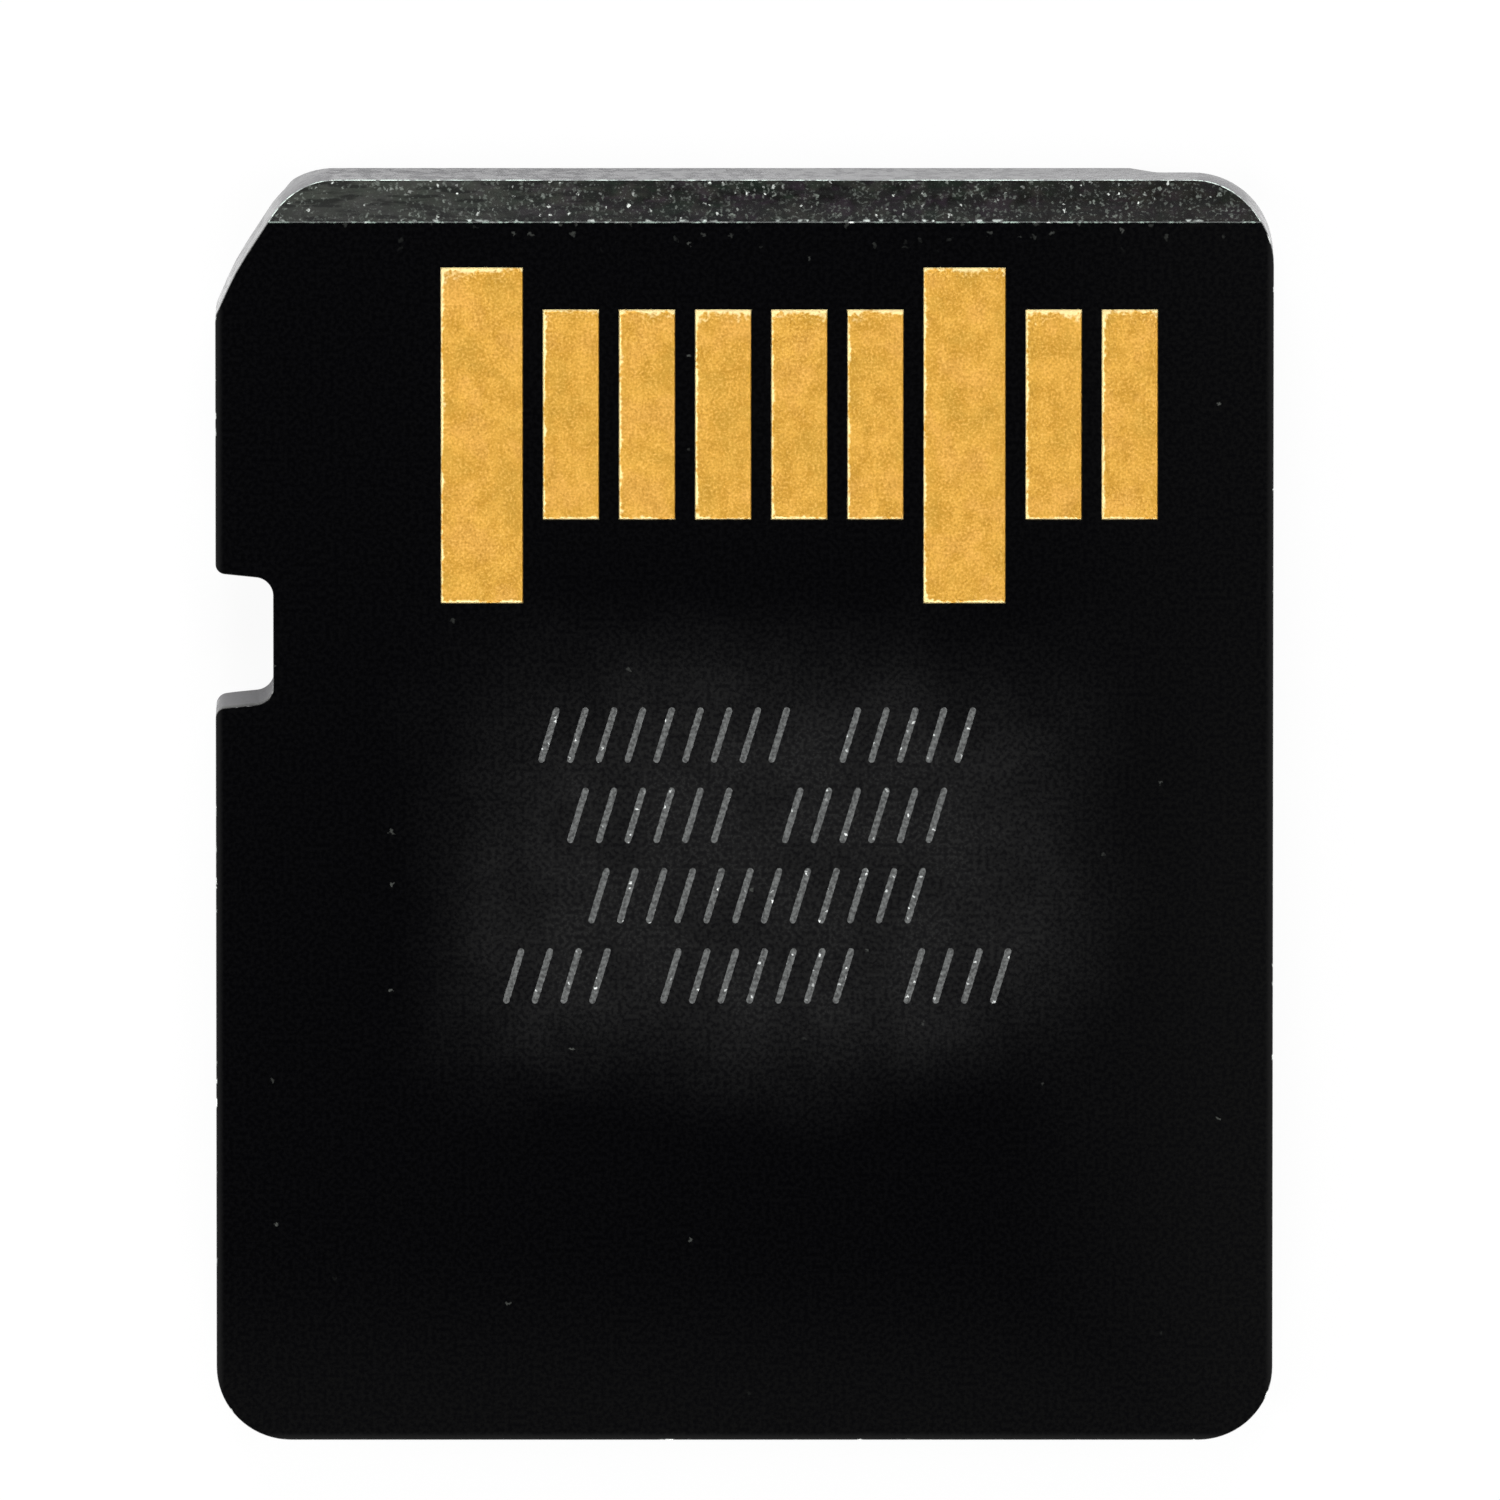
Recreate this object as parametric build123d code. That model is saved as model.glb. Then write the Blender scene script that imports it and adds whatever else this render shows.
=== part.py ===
from build123d import *
import os

# A flash memory card for a handheld console, lying with its contact face up.
# X runs across the card, +Y is the way it slides in, and Z = 0 is the label side.
# Millimetres.

# Card outline
CARD_WIDTH = 12.5
CARD_LENGTH = 15.0
CARD_THICKNESS = 1.6
CORNER_RADIUS = 0.88
FRONT_CORNER_RADIUS = 0.95

# Cut corner, bent slightly outwards on its way from the insertion end to the side
CUT_WIDTH = 0.914
CUT_LENGTH = 1.572
CUT_FRONT_RADIUS = 0.92
CUT_SIDE_RADIUS = 0.18
CUT_BEND_WIDTH = 0.237
CUT_BEND_LENGTH = 1.04
CUT_BEND_RADIUS = 3.0

# Latch notch in the left side, with walls that open towards the mouth
NOTCH_SETBACK = 5.44
NOTCH_DEPTH = 0.68
NOTCH_FLOOR = 1.48
NOTCH_MOUTH = 1.62
NOTCH_MOUTH_RADIUS = 0.12
NOTCH_FLOOR_RADIUS = 0.22

# Lead-in bevel, ground across the insertion end on the contact side
BEVEL_LENGTH = 0.44
BEVEL_DEPTH = 0.46

# Label side: a raised deck that steps up to a thinner rail on each side
LEFT_RAIL_WIDTH = 0.8
LEFT_RAIL_RELIEF = 0.36
LEFT_STEP_WIDTH = 0.1
RIGHT_RAIL_WIDTH = 1.38
RIGHT_RAIL_RELIEF = 0.5
RIGHT_STEP_WIDTH = 0.42
STEP_RADIUS = 0.12

# Moulded rounds of the label edges, which the cut outline trims
LABEL_EDGE_RADIUS = 0.28
OUTLINE_TRIM = 0.05

# Board
BOARD_THICKNESS = 0.2

# Contact pads, set flush in the board, measured from the left side and the insertion end
NARROW_PAD_WIDTH = 0.668
NARROW_PAD_LENGTH = 2.51
NARROW_PAD_SETBACK = 1.48
WIDE_PAD_WIDTH = 0.975
WIDE_PAD_LENGTH = 4.01
WIDE_PAD_SETBACK = 0.98
PAD_GAP = 0.231
PAD_MARGIN = 2.66
PAD_THICKNESS = 0.03
PAD_RECESS = 0.005
PAD_CORNER_RADIUS = 0.02
PAD_COUNT = 9
WIDE_PADS = (1, 7)

# Stack of flash dies, each set back from the one before it
FLASH_COUNT = 4
FLASH_LENGTH = 10.0
FLASH_WIDTH = 6.2
FLASH_THICKNESS = 0.11
FLASH_STEP = 0.35
FLASH_SETBACK = 6.8

# Controller die
CONTROLLER_LENGTH = 3.4
CONTROLLER_WIDTH = 2.8
CONTROLLER_THICKNESS = 0.15
CONTROLLER_X = 0.4
CONTROLLER_SETBACK = 3.6

# Chip capacitors beside the controller's fingers, by side and by rank in their column
CAPACITOR_LENGTH = 0.6
CAPACITOR_WIDTH = 0.3
CAPACITOR_END = 0.15
CAPACITOR_WAIST = 0.015
CAPACITOR_GAP = 0.95
CAPACITOR_PITCH = 1.3
CAPACITOR_SPOTS = ((-1, 0.5), (-1, -0.5), (1, 0))

# Bond fingers and wires
FINGER_WIDTH = 0.16
FINGER_LENGTH = 0.35
FINGER_THICKNESS = 0.015
FINGER_GAP = 0.3
FLASH_COLUMNS = 12
FLASH_COLUMN_PITCH = 0.8
CONTROLLER_ROWS = 7
CONTROLLER_ROW_PITCH = 0.36
WIRE_WIDTH = 0.025
WIRE_LOOP = 0.06
WIRE_INSET = 0.12
WIRE_STAGGER = 0.04

# Values that follow from the driving dimensions
LEFT = -CARD_WIDTH / 2
RIGHT = CARD_WIDTH / 2
REAR = -CARD_LENGTH / 2
FRONT = CARD_LENGTH / 2
BOARD_INSIDE = CARD_THICKNESS - BOARD_THICKNESS


def prism(corners, plane, depth):
    """A solid on a closed outline of (point, radius) corners, grown both ways from a plane."""
    points = [point for point, radius in corners]
    radii = [radius for point, radius in corners]
    face = make_face(FilletPolyline(*points, radius=radii, close=True))
    return extrude(plane * face, amount=depth, both=True)


def block(x_range, y_range, z_range):
    """A plain box between two values on each axis."""
    size = [high - low for low, high in (x_range, y_range, z_range)]
    corner = [low for low, high in (x_range, y_range, z_range)]
    return Pos(*corner) * Box(*size, align=(Align.MIN, Align.MIN, Align.MIN))


def plan():
    """The outline seen from the contact side: cut corner at the left of the insertion end."""
    notch_y = FRONT - NOTCH_SETBACK
    floor_x = LEFT + NOTCH_DEPTH
    corners = [
        ((LEFT, REAR), CORNER_RADIUS),
        ((RIGHT, REAR), CORNER_RADIUS),
        ((RIGHT, FRONT), FRONT_CORNER_RADIUS),
        ((LEFT + CUT_WIDTH, FRONT), CUT_FRONT_RADIUS),
        ((LEFT + CUT_BEND_WIDTH, FRONT - CUT_BEND_LENGTH), CUT_BEND_RADIUS),
        ((LEFT, FRONT - CUT_LENGTH), CUT_SIDE_RADIUS),
        ((LEFT, notch_y + NOTCH_MOUTH / 2), NOTCH_MOUTH_RADIUS),
        ((floor_x, notch_y + NOTCH_FLOOR / 2), NOTCH_FLOOR_RADIUS),
        ((floor_x, notch_y - NOTCH_FLOOR / 2), NOTCH_FLOOR_RADIUS),
        ((LEFT, notch_y - NOTCH_MOUTH / 2), NOTCH_MOUTH_RADIUS),
    ]
    return prism(corners, Plane.XY, CARD_THICKNESS)


def cross_section():
    """The moulded section across the card: the deck and the rails beside it."""
    left_step = LEFT + LEFT_RAIL_WIDTH
    right_step = RIGHT - RIGHT_RAIL_WIDTH
    top = CARD_THICKNESS + OUTLINE_TRIM
    corners = [
        ((LEFT - OUTLINE_TRIM, top), 0),
        ((LEFT - OUTLINE_TRIM, LEFT_RAIL_RELIEF), LABEL_EDGE_RADIUS),
        ((left_step, LEFT_RAIL_RELIEF), STEP_RADIUS),
        ((left_step + LEFT_STEP_WIDTH, 0), STEP_RADIUS),
        ((right_step - RIGHT_STEP_WIDTH, 0), STEP_RADIUS),
        ((right_step, RIGHT_RAIL_RELIEF), STEP_RADIUS),
        ((RIGHT + OUTLINE_TRIM, RIGHT_RAIL_RELIEF), LABEL_EDGE_RADIUS),
        ((RIGHT + OUTLINE_TRIM, top), 0),
    ]
    return prism(corners, Plane.XZ, CARD_LENGTH)


def side_profile():
    """The moulded section along the card, with the ground bevel."""
    top = CARD_THICKNESS + OUTLINE_TRIM
    fall = BEVEL_DEPTH / BEVEL_LENGTH
    corners = [
        ((REAR - OUTLINE_TRIM, top), 0),
        ((REAR - OUTLINE_TRIM, 0), LABEL_EDGE_RADIUS),
        ((FRONT + OUTLINE_TRIM, 0), LABEL_EDGE_RADIUS),
        ((FRONT + OUTLINE_TRIM, CARD_THICKNESS - BEVEL_DEPTH - OUTLINE_TRIM * fall), 0),
        ((FRONT - BEVEL_LENGTH - OUTLINE_TRIM / fall, top), 0),
    ]
    return prism(corners, Plane.YZ, CARD_WIDTH)


def contact_pads():
    """The row of pads and the windows in the board that hold them."""
    bottom = CARD_THICKNESS - PAD_RECESS - PAD_THICKNESS
    pads = []
    windows = []
    left = LEFT + PAD_MARGIN
    for number in range(1, PAD_COUNT + 1):
        wide = number in WIDE_PADS
        width = WIDE_PAD_WIDTH if wide else NARROW_PAD_WIDTH
        length = WIDE_PAD_LENGTH if wide else NARROW_PAD_LENGTH
        setback = WIDE_PAD_SETBACK if wide else NARROW_PAD_SETBACK
        outline = RectangleRounded(width, length, PAD_CORNER_RADIUS)
        place = Pos(left + width / 2, FRONT - setback - length / 2, bottom)
        pads.append(place * extrude(outline, PAD_THICKNESS))
        windows.append(place * extrude(outline, PAD_THICKNESS + PAD_RECESS))
        left += width + PAD_GAP
    return pads, windows


def flash_front(number):
    """The front edge of one flash die, counted from the board."""
    return FRONT - FLASH_SETBACK - number * FLASH_STEP


def flash_face(number):
    """The height of one flash die's wired face, with the board's inner face as number -1."""
    return BOARD_INSIDE - (number + 1) * FLASH_THICKNESS


def flash_die(number):
    front = flash_front(number)
    x_range = (-FLASH_LENGTH / 2, FLASH_LENGTH / 2)
    return block(x_range, (front - FLASH_WIDTH, front), (flash_face(number), flash_face(number - 1)))


def controller_die(centre):
    x_range = (centre.X - CONTROLLER_LENGTH / 2, centre.X + CONTROLLER_LENGTH / 2)
    y_range = (centre.Y - CONTROLLER_WIDTH / 2, centre.Y + CONTROLLER_WIDTH / 2)
    return block(x_range, y_range, (BOARD_INSIDE - CONTROLLER_THICKNESS, BOARD_INSIDE))


def capacitor(x, y):
    """A chip capacitor: a ceramic waist between two taller plated ends, flat on the board."""
    half = CAPACITOR_LENGTH / 2
    side = CAPACITOR_WIDTH / 2
    waist = side - CAPACITOR_WAIST
    full_height = (BOARD_INSIDE - CAPACITOR_WIDTH, BOARD_INSIDE)
    waist_height = (BOARD_INSIDE - CAPACITOR_WIDTH + CAPACITOR_WAIST, BOARD_INSIDE)
    body = block((x - half, x + half), (y - waist, y + waist), waist_height)
    for start in (x - half, x + half - CAPACITOR_END):
        body += block((start, start + CAPACITOR_END), (y - side, y + side), full_height)
    return body.solid()


def bond_wire(start, end):
    """A wire that rises from a die, runs level past its edge and comes down on its landing."""
    run = Vector(end.X - start.X, end.Y - start.Y, 0)
    away_from_board = Vector(0, 0, -1)
    plane = Plane(origin=start, x_dir=run, z_dir=run.cross(away_from_board))
    half = WIRE_WIDTH / 2
    knee = WIRE_INSET + WIRE_LOOP
    landing = start.Z - end.Z
    outline = Polyline(
        (-half, 0),
        (-half, WIRE_LOOP + WIRE_WIDTH),
        (knee + half, WIRE_LOOP + WIRE_WIDTH),
        (run.length + half, landing),
        (run.length - half, landing),
        (knee - half, WIRE_LOOP),
        (half, WIRE_LOOP),
        (half, 0),
        close=True,
    )
    return extrude(plane * make_face(outline), amount=half, both=True)


def finger(centre, length_x, length_y):
    x_range = (centre.X - length_x / 2, centre.X + length_x / 2)
    y_range = (centre.Y - length_y / 2, centre.Y + length_y / 2)
    return block(x_range, y_range, (BOARD_INSIDE, BOARD_INSIDE + FINGER_THICKNESS))


def flash_wiring():
    """Columns of short wires that step down the stack, and the row of fingers they end on."""
    wires = []
    fingers = []
    for column in range(FLASH_COLUMNS):
        x = (column - (FLASH_COLUMNS - 1) / 2) * FLASH_COLUMN_PITCH
        landing = Vector(x, flash_front(0) + FINGER_GAP + FINGER_LENGTH / 2, BOARD_INSIDE)
        fingers.append(finger(landing, FINGER_WIDTH, FINGER_LENGTH))
        for number in range(FLASH_COUNT):
            shift = WIRE_STAGGER if number % 2 else -WIRE_STAGGER
            start = Vector(x + shift, flash_front(number) - WIRE_INSET, flash_face(number))
            end_y = flash_front(number - 1) - WIRE_INSET if number else landing.Y
            wires.append(bond_wire(start, Vector(x + shift, end_y, flash_face(number - 1))))
    return wires, fingers


def controller_wiring(centre):
    """A row of wires and fingers along each side of the controller."""
    wires = []
    fingers = []
    face = BOARD_INSIDE - CONTROLLER_THICKNESS
    for side in (-1, 1):
        edge = centre.X + side * CONTROLLER_LENGTH / 2
        for row in range(CONTROLLER_ROWS):
            y = centre.Y + (row - (CONTROLLER_ROWS - 1) / 2) * CONTROLLER_ROW_PITCH
            landing = Vector(edge + side * (FINGER_GAP + FINGER_LENGTH / 2), y, BOARD_INSIDE)
            fingers.append(finger(landing, FINGER_LENGTH, FINGER_WIDTH))
            wires.append(bond_wire(Vector(edge - side * WIRE_INSET, y, face), landing))
    return wires, fingers


def build_nodes():
    """Every piece of the card by name."""
    nodes = {}
    controller = Vector(CONTROLLER_X, FRONT - CONTROLLER_SETBACK, BOARD_INSIDE)
    for number in range(FLASH_COUNT):
        nodes[f"flash_die_{number + 1}"] = flash_die(number)
    nodes["controller_die"] = controller_die(controller)
    reach = CONTROLLER_LENGTH / 2 + FINGER_GAP + FINGER_LENGTH + CAPACITOR_GAP + CAPACITOR_LENGTH / 2
    for number, (side, rank) in enumerate(CAPACITOR_SPOTS, start=1):
        x = controller.X + side * reach
        nodes[f"capacitor_{number}"] = capacitor(x, controller.Y + rank * CAPACITOR_PITCH)
    flash_wires, flash_fingers = flash_wiring()
    controller_wires, controller_fingers = controller_wiring(controller)
    encased = list(nodes.values()) + flash_wires + controller_wires
    fingers = flash_fingers + controller_fingers

    card = (plan() & cross_section() & side_profile()).solid()
    x_range = (LEFT - OUTLINE_TRIM, RIGHT + OUTLINE_TRIM)
    y_range = (REAR - OUTLINE_TRIM, FRONT + OUTLINE_TRIM)
    inside = block(x_range, y_range, (-OUTLINE_TRIM, BOARD_INSIDE))
    pads, windows = contact_pads()
    nodes["mould_body"] = ((card & inside) - encased).solid()
    nodes["substrate_board"] = ((card - inside) - windows - fingers).solid()
    for number, pad in enumerate(pads, start=1):
        nodes[f"contact_pad_{number}"] = pad
    nodes["bond_fingers"] = Compound(children=fingers)
    nodes["flash_bond_wires"] = Compound(children=flash_wires)
    nodes["controller_bond_wires"] = Compound(children=controller_wires)
    return nodes


os.makedirs("parts", exist_ok=True)
for name, shape in build_nodes().items():
    export_step(shape, f"parts/{name}.step")
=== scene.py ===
import math

import bmesh
import bpy
from mathutils import Matrix, Vector, noise


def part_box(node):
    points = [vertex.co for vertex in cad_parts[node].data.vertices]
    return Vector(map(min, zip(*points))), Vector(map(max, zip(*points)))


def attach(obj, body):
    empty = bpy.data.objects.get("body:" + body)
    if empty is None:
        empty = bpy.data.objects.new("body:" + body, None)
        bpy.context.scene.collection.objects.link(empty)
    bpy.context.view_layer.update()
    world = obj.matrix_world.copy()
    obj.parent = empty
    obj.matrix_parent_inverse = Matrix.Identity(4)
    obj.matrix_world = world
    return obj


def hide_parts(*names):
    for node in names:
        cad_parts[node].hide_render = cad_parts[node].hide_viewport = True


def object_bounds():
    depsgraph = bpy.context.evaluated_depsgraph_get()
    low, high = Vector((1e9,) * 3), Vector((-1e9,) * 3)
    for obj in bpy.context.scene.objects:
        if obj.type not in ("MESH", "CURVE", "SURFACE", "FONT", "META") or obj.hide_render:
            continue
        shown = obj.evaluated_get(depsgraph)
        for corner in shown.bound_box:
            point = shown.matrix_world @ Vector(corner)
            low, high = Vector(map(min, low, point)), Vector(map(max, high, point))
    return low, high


# A flash memory card lying with its contact face up. Sizes are in millimetres unless a name says
# otherwise, X runs across the card, +Y is the way it slides in, and the label side is at Z = 0.

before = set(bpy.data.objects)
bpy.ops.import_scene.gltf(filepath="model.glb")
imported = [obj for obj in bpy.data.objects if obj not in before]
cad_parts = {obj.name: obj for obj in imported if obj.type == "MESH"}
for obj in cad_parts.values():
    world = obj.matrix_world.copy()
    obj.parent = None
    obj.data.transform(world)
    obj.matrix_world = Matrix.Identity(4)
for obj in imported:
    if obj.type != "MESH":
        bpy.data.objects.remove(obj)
cad_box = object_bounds()
MM = 0.001

# Card sizes: what the frame can give comes from it, and the rest are the solids' own values
LEFT, REAR, BOTTOM = (value / MM for value in cad_box[0])
RIGHT, FRONT, TOP = (value / MM for value in cad_box[1])
BOARD_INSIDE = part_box("substrate_board")[0].z / MM
CORNER_RADIUS = 0.88
FRONT_CORNER_RADIUS = 0.95
CUT_WIDTH = 0.914
CUT_LENGTH = 1.572
CUT_FRONT_RADIUS = 0.92
CUT_SIDE_RADIUS = 0.18
CUT_BEND_WIDTH = 0.237
CUT_BEND_LENGTH = 1.04
CUT_BEND_RADIUS = 3.0
NOTCH_SETBACK = 5.44
NOTCH_DEPTH = 0.68
NOTCH_FLOOR = 1.48
NOTCH_MOUTH = 1.62
NOTCH_MOUTH_RADIUS = 0.12
NOTCH_FLOOR_RADIUS = 0.22
BEVEL_LENGTH = 0.44
BEVEL_DEPTH = 0.46
LEFT_RAIL_WIDTH = 0.8
LEFT_RAIL_RELIEF = 0.36
LEFT_STEP_WIDTH = 0.1
RIGHT_RAIL_WIDTH = 1.38
RIGHT_RAIL_RELIEF = 0.5
RIGHT_STEP_WIDTH = 0.42
STEP_RADIUS = 0.12
LABEL_EDGE_RADIUS = 0.28
OUTLINE_TRIM = 0.05
PAD_COUNT = 9
NOTCH_Y = FRONT - NOTCH_SETBACK
NOTCH_X = LEFT + NOTCH_DEPTH
RIDGE_Y = FRONT - BEVEL_LENGTH
BEVEL_NORMAL = Vector((0, BEVEL_DEPTH, BEVEL_LENGTH)).normalized()

# Angles that arcs and edges are judged by, and the fine form that the solids leave out
ARC_STEP = math.radians(5)
FLAT_ANGLE = math.radians(0.5)
SHARP_ANGLE = math.radians(25)
EDGE_WEAR = 0.01
PAD_GRID = 0.02
PAD_RIM_DROP = 0.012
PAD_WAVE = 0.0005
MARK_HEIGHT = 0.002

# Finishes of the card's faces, in the order of their material slots
FINISHES = range(7)
FACE, SIDE, GROUND, LABEL, EDGE, RIDGE, LIP = FINISHES

# How far a face's normal has to point along the bevel's normal, up or down for its finish
ON_BEVEL = 0.999
FACE_UP = 0.9
LABEL_DOWN = -0.2


def srgb(red, green, blue):
    """A colour as it shows on screen, from 0 to 255, as the linear colour that a shader takes."""
    shares = (red / 255, green / 255, blue / 255)
    linear = [s / 12.92 if s <= 0.04045 else ((s + 0.055) / 1.055) ** 2.4 for s in shares]
    return (*linear, 1.0)


class Graph:
    """A material's nodes, with short calls for the ones used here. Lengths are in millimetres."""

    # How uneven specks are: the reach and the grain of their warp, in radii of a speck
    SPECK_WARP = 4
    SPECK_WARP_GRAIN = 2

    def __init__(self, name):
        self.material = bpy.data.materials.new(name)
        self.material.use_nodes = True
        self.tree = self.material.node_tree
        self.shader = self.tree.nodes["Principled BSDF"]
        place = self.node("ShaderNodeTexCoord").outputs["Object"]
        self.coords = self.vector("SCALE", place, 1 / MM)

    def node(self, kind, **settings):
        made = self.tree.nodes.new(kind)
        for key, value in settings.items():
            setattr(made, key, value)
        return made

    def feed(self, socket, value):
        """Links an output to a socket, or sets the socket to a plain value."""
        if isinstance(value, bpy.types.NodeSocket):
            self.tree.links.new(value, socket)
        else:
            socket.default_value = value

    def vector(self, operation, first, second):
        made = self.node("ShaderNodeVectorMath", operation=operation)
        self.feed(made.inputs[0], first)
        self.feed(made.inputs["Scale"] if operation == "SCALE" else made.inputs[1], second)
        return made.outputs["Vector"]

    def math(self, operation, first, second=0.0):
        made = self.node("ShaderNodeMath", operation=operation)
        self.feed(made.inputs[0], first)
        self.feed(made.inputs[1], second)
        return made.outputs["Value"]

    def axes(self):
        """The point's x, y and z."""
        made = self.node("ShaderNodeSeparateXYZ")
        self.feed(made.inputs[0], self.coords)
        return made.outputs

    def fit(self, value, low, high, to_low=0.0, to_high=1.0):
        """A value's way from low to high as a way between two other values, held at both ends."""
        made = self.node("ShaderNodeMapRange", interpolation_type="SMOOTHSTEP")
        for name, part in zip(("Value", "From Min", "From Max", "To Min", "To Max"),
                              (value, low, high, to_low, to_high)):
            self.feed(made.inputs[name], part)
        return made.outputs["Result"]

    def noise(self, grain, detail=3.0, stretch=(1, 1, 1), offset=(0, 0, 0)):
        """Clouds about as wide as grain, from about 0.2 to 0.8."""
        coords = self.vector("MULTIPLY", self.coords, stretch)
        made = self.node("ShaderNodeTexNoise")
        self.feed(made.inputs["Vector"], self.vector("ADD", coords, offset))
        made.inputs["Scale"].default_value = 1 / grain
        made.inputs["Detail"].default_value = detail
        return made.outputs["Fac"]

    def specks(self, spacing, radius, share, solid=False):
        """Scattered uneven dots, each of its own brightness: a share of the places on a loose grid."""
        warp = self.node("ShaderNodeTexNoise")
        self.feed(warp.inputs["Vector"], self.coords)
        warp.inputs["Scale"].default_value = 1 / (self.SPECK_WARP_GRAIN * radius)
        shift = self.vector("SUBTRACT", warp.outputs["Color"], (0.5, 0.5, 0.5))
        made = self.node("ShaderNodeTexVoronoi", voronoi_dimensions="3D" if solid else "2D")
        shift = self.vector("SCALE", shift, self.SPECK_WARP * radius)
        self.feed(made.inputs["Vector"], self.vector("ADD", self.coords, shift))
        made.inputs["Scale"].default_value = 1 / spacing
        pick = self.node("ShaderNodeSeparateColor")
        self.feed(pick.inputs[0], made.outputs["Color"])
        dot = self.fit(made.outputs["Distance"], radius / spacing, radius / spacing / 3)
        chosen = self.math("LESS_THAN", pick.outputs[0], share)
        return self.math("MULTIPLY", self.math("MULTIPLY", dot, chosen), pick.outputs[1])

    def blend(self, factor, first, second):
        made = self.node("ShaderNodeMix", data_type="RGBA")
        self.feed(made.inputs["Factor"], factor)
        self.feed(made.inputs["A"], first)
        self.feed(made.inputs["B"], second)
        return made.outputs["Result"]

    def relief(self, height, depth):
        """The normal of a surface whose height goes up and down by depth."""
        made = self.node("ShaderNodeBump")
        made.inputs["Distance"].default_value = depth * MM
        self.feed(made.inputs["Height"], height)
        return made.outputs["Normal"]


def set_shader(graph, color, roughness, normal=None, metallic=0.0, specular=0.5):
    """Gives the shader its colour, roughness and relief, and its plain metallic and specular values."""
    inputs = graph.shader.inputs
    graph.feed(inputs["Base Color"], color)
    graph.feed(inputs["Roughness"], roughness)
    inputs["Metallic"].default_value = metallic
    inputs["Specular IOR Level"].default_value = specular
    if normal is not None:
        graph.feed(inputs["Normal"], normal)
    return graph.material


def mask_material():
    """Black solder mask: fine-grained, paler towards two edges and hazy round the marking."""
    graph = Graph("black_mask")
    x, y, _ = graph.axes()
    grain = graph.fit(graph.noise(0.05, 3.0), 0.35, 0.65)
    paler_towards_edges = graph.math("MULTIPLY", graph.fit(x, 2.5, RIGHT), graph.fit(y, 4.0, -2.0, 0.5, 1.0))
    paler_towards_edges = graph.math("MAXIMUM", paler_towards_edges, graph.fit(y, REAR + 2.5, REAR, 0, 0.75))
    # A thin paler band along the side and rear edges
    edge_band = graph.fit(graph.math("ABSOLUTE", x), RIGHT - 0.1, RIGHT)
    edge_band = graph.math("MAXIMUM", edge_band, graph.fit(y, REAR + 0.1, REAR))
    haze = graph.fit(graph.noise(0.6, 4.0, offset=(2, 6, 0)), 0.3, 0.7, 0.65, 1.0)
    for place, middle, reach, drift in ((x, 0.3, 4.6, (5, 0, 0)), (y, -0.6, 3.4, (0, 5, 0))):
        sway = graph.math("SUBTRACT", graph.noise(2.2, 3.0, offset=drift), 0.5)
        sway = graph.math("MULTIPLY", sway, 2.0)
        swayed = graph.math("ADD", graph.math("SUBTRACT", place, middle), sway)
        from_middle = graph.math("ABSOLUTE", swayed)
        haze = graph.math("MULTIPLY", haze, graph.fit(from_middle, reach, reach - 2.4))
    clear = graph.blend(grain, srgb(2, 2, 3), srgb(5, 5, 6))
    color = graph.blend(paler_towards_edges, clear, graph.blend(grain, srgb(7, 7, 8), srgb(12, 12, 12)))
    color = graph.blend(haze, color, graph.blend(grain, srgb(15, 15, 16), srgb(28, 28, 28)))
    color = graph.blend(edge_band, color, srgb(26, 26, 26))
    dust = graph.math("MULTIPLY", graph.specks(0.17, 0.035, 0.3), graph.fit(y, RIDGE_Y - 0.4, RIDGE_Y))
    dust = graph.math("MAXIMUM", dust, graph.specks(0.7, 0.03, 0.1))
    color = graph.blend(dust, color, srgb(66, 68, 65))
    roughness = graph.math("ADD", graph.fit(haze, 0, 1, 0.16, 0.24), graph.fit(grain, 0, 1, 0, 0.04))
    normal = graph.relief(graph.noise(0.12, 4.0), 0.0006)
    return set_shader(graph, color, roughness, normal, specular=0.15)


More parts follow.
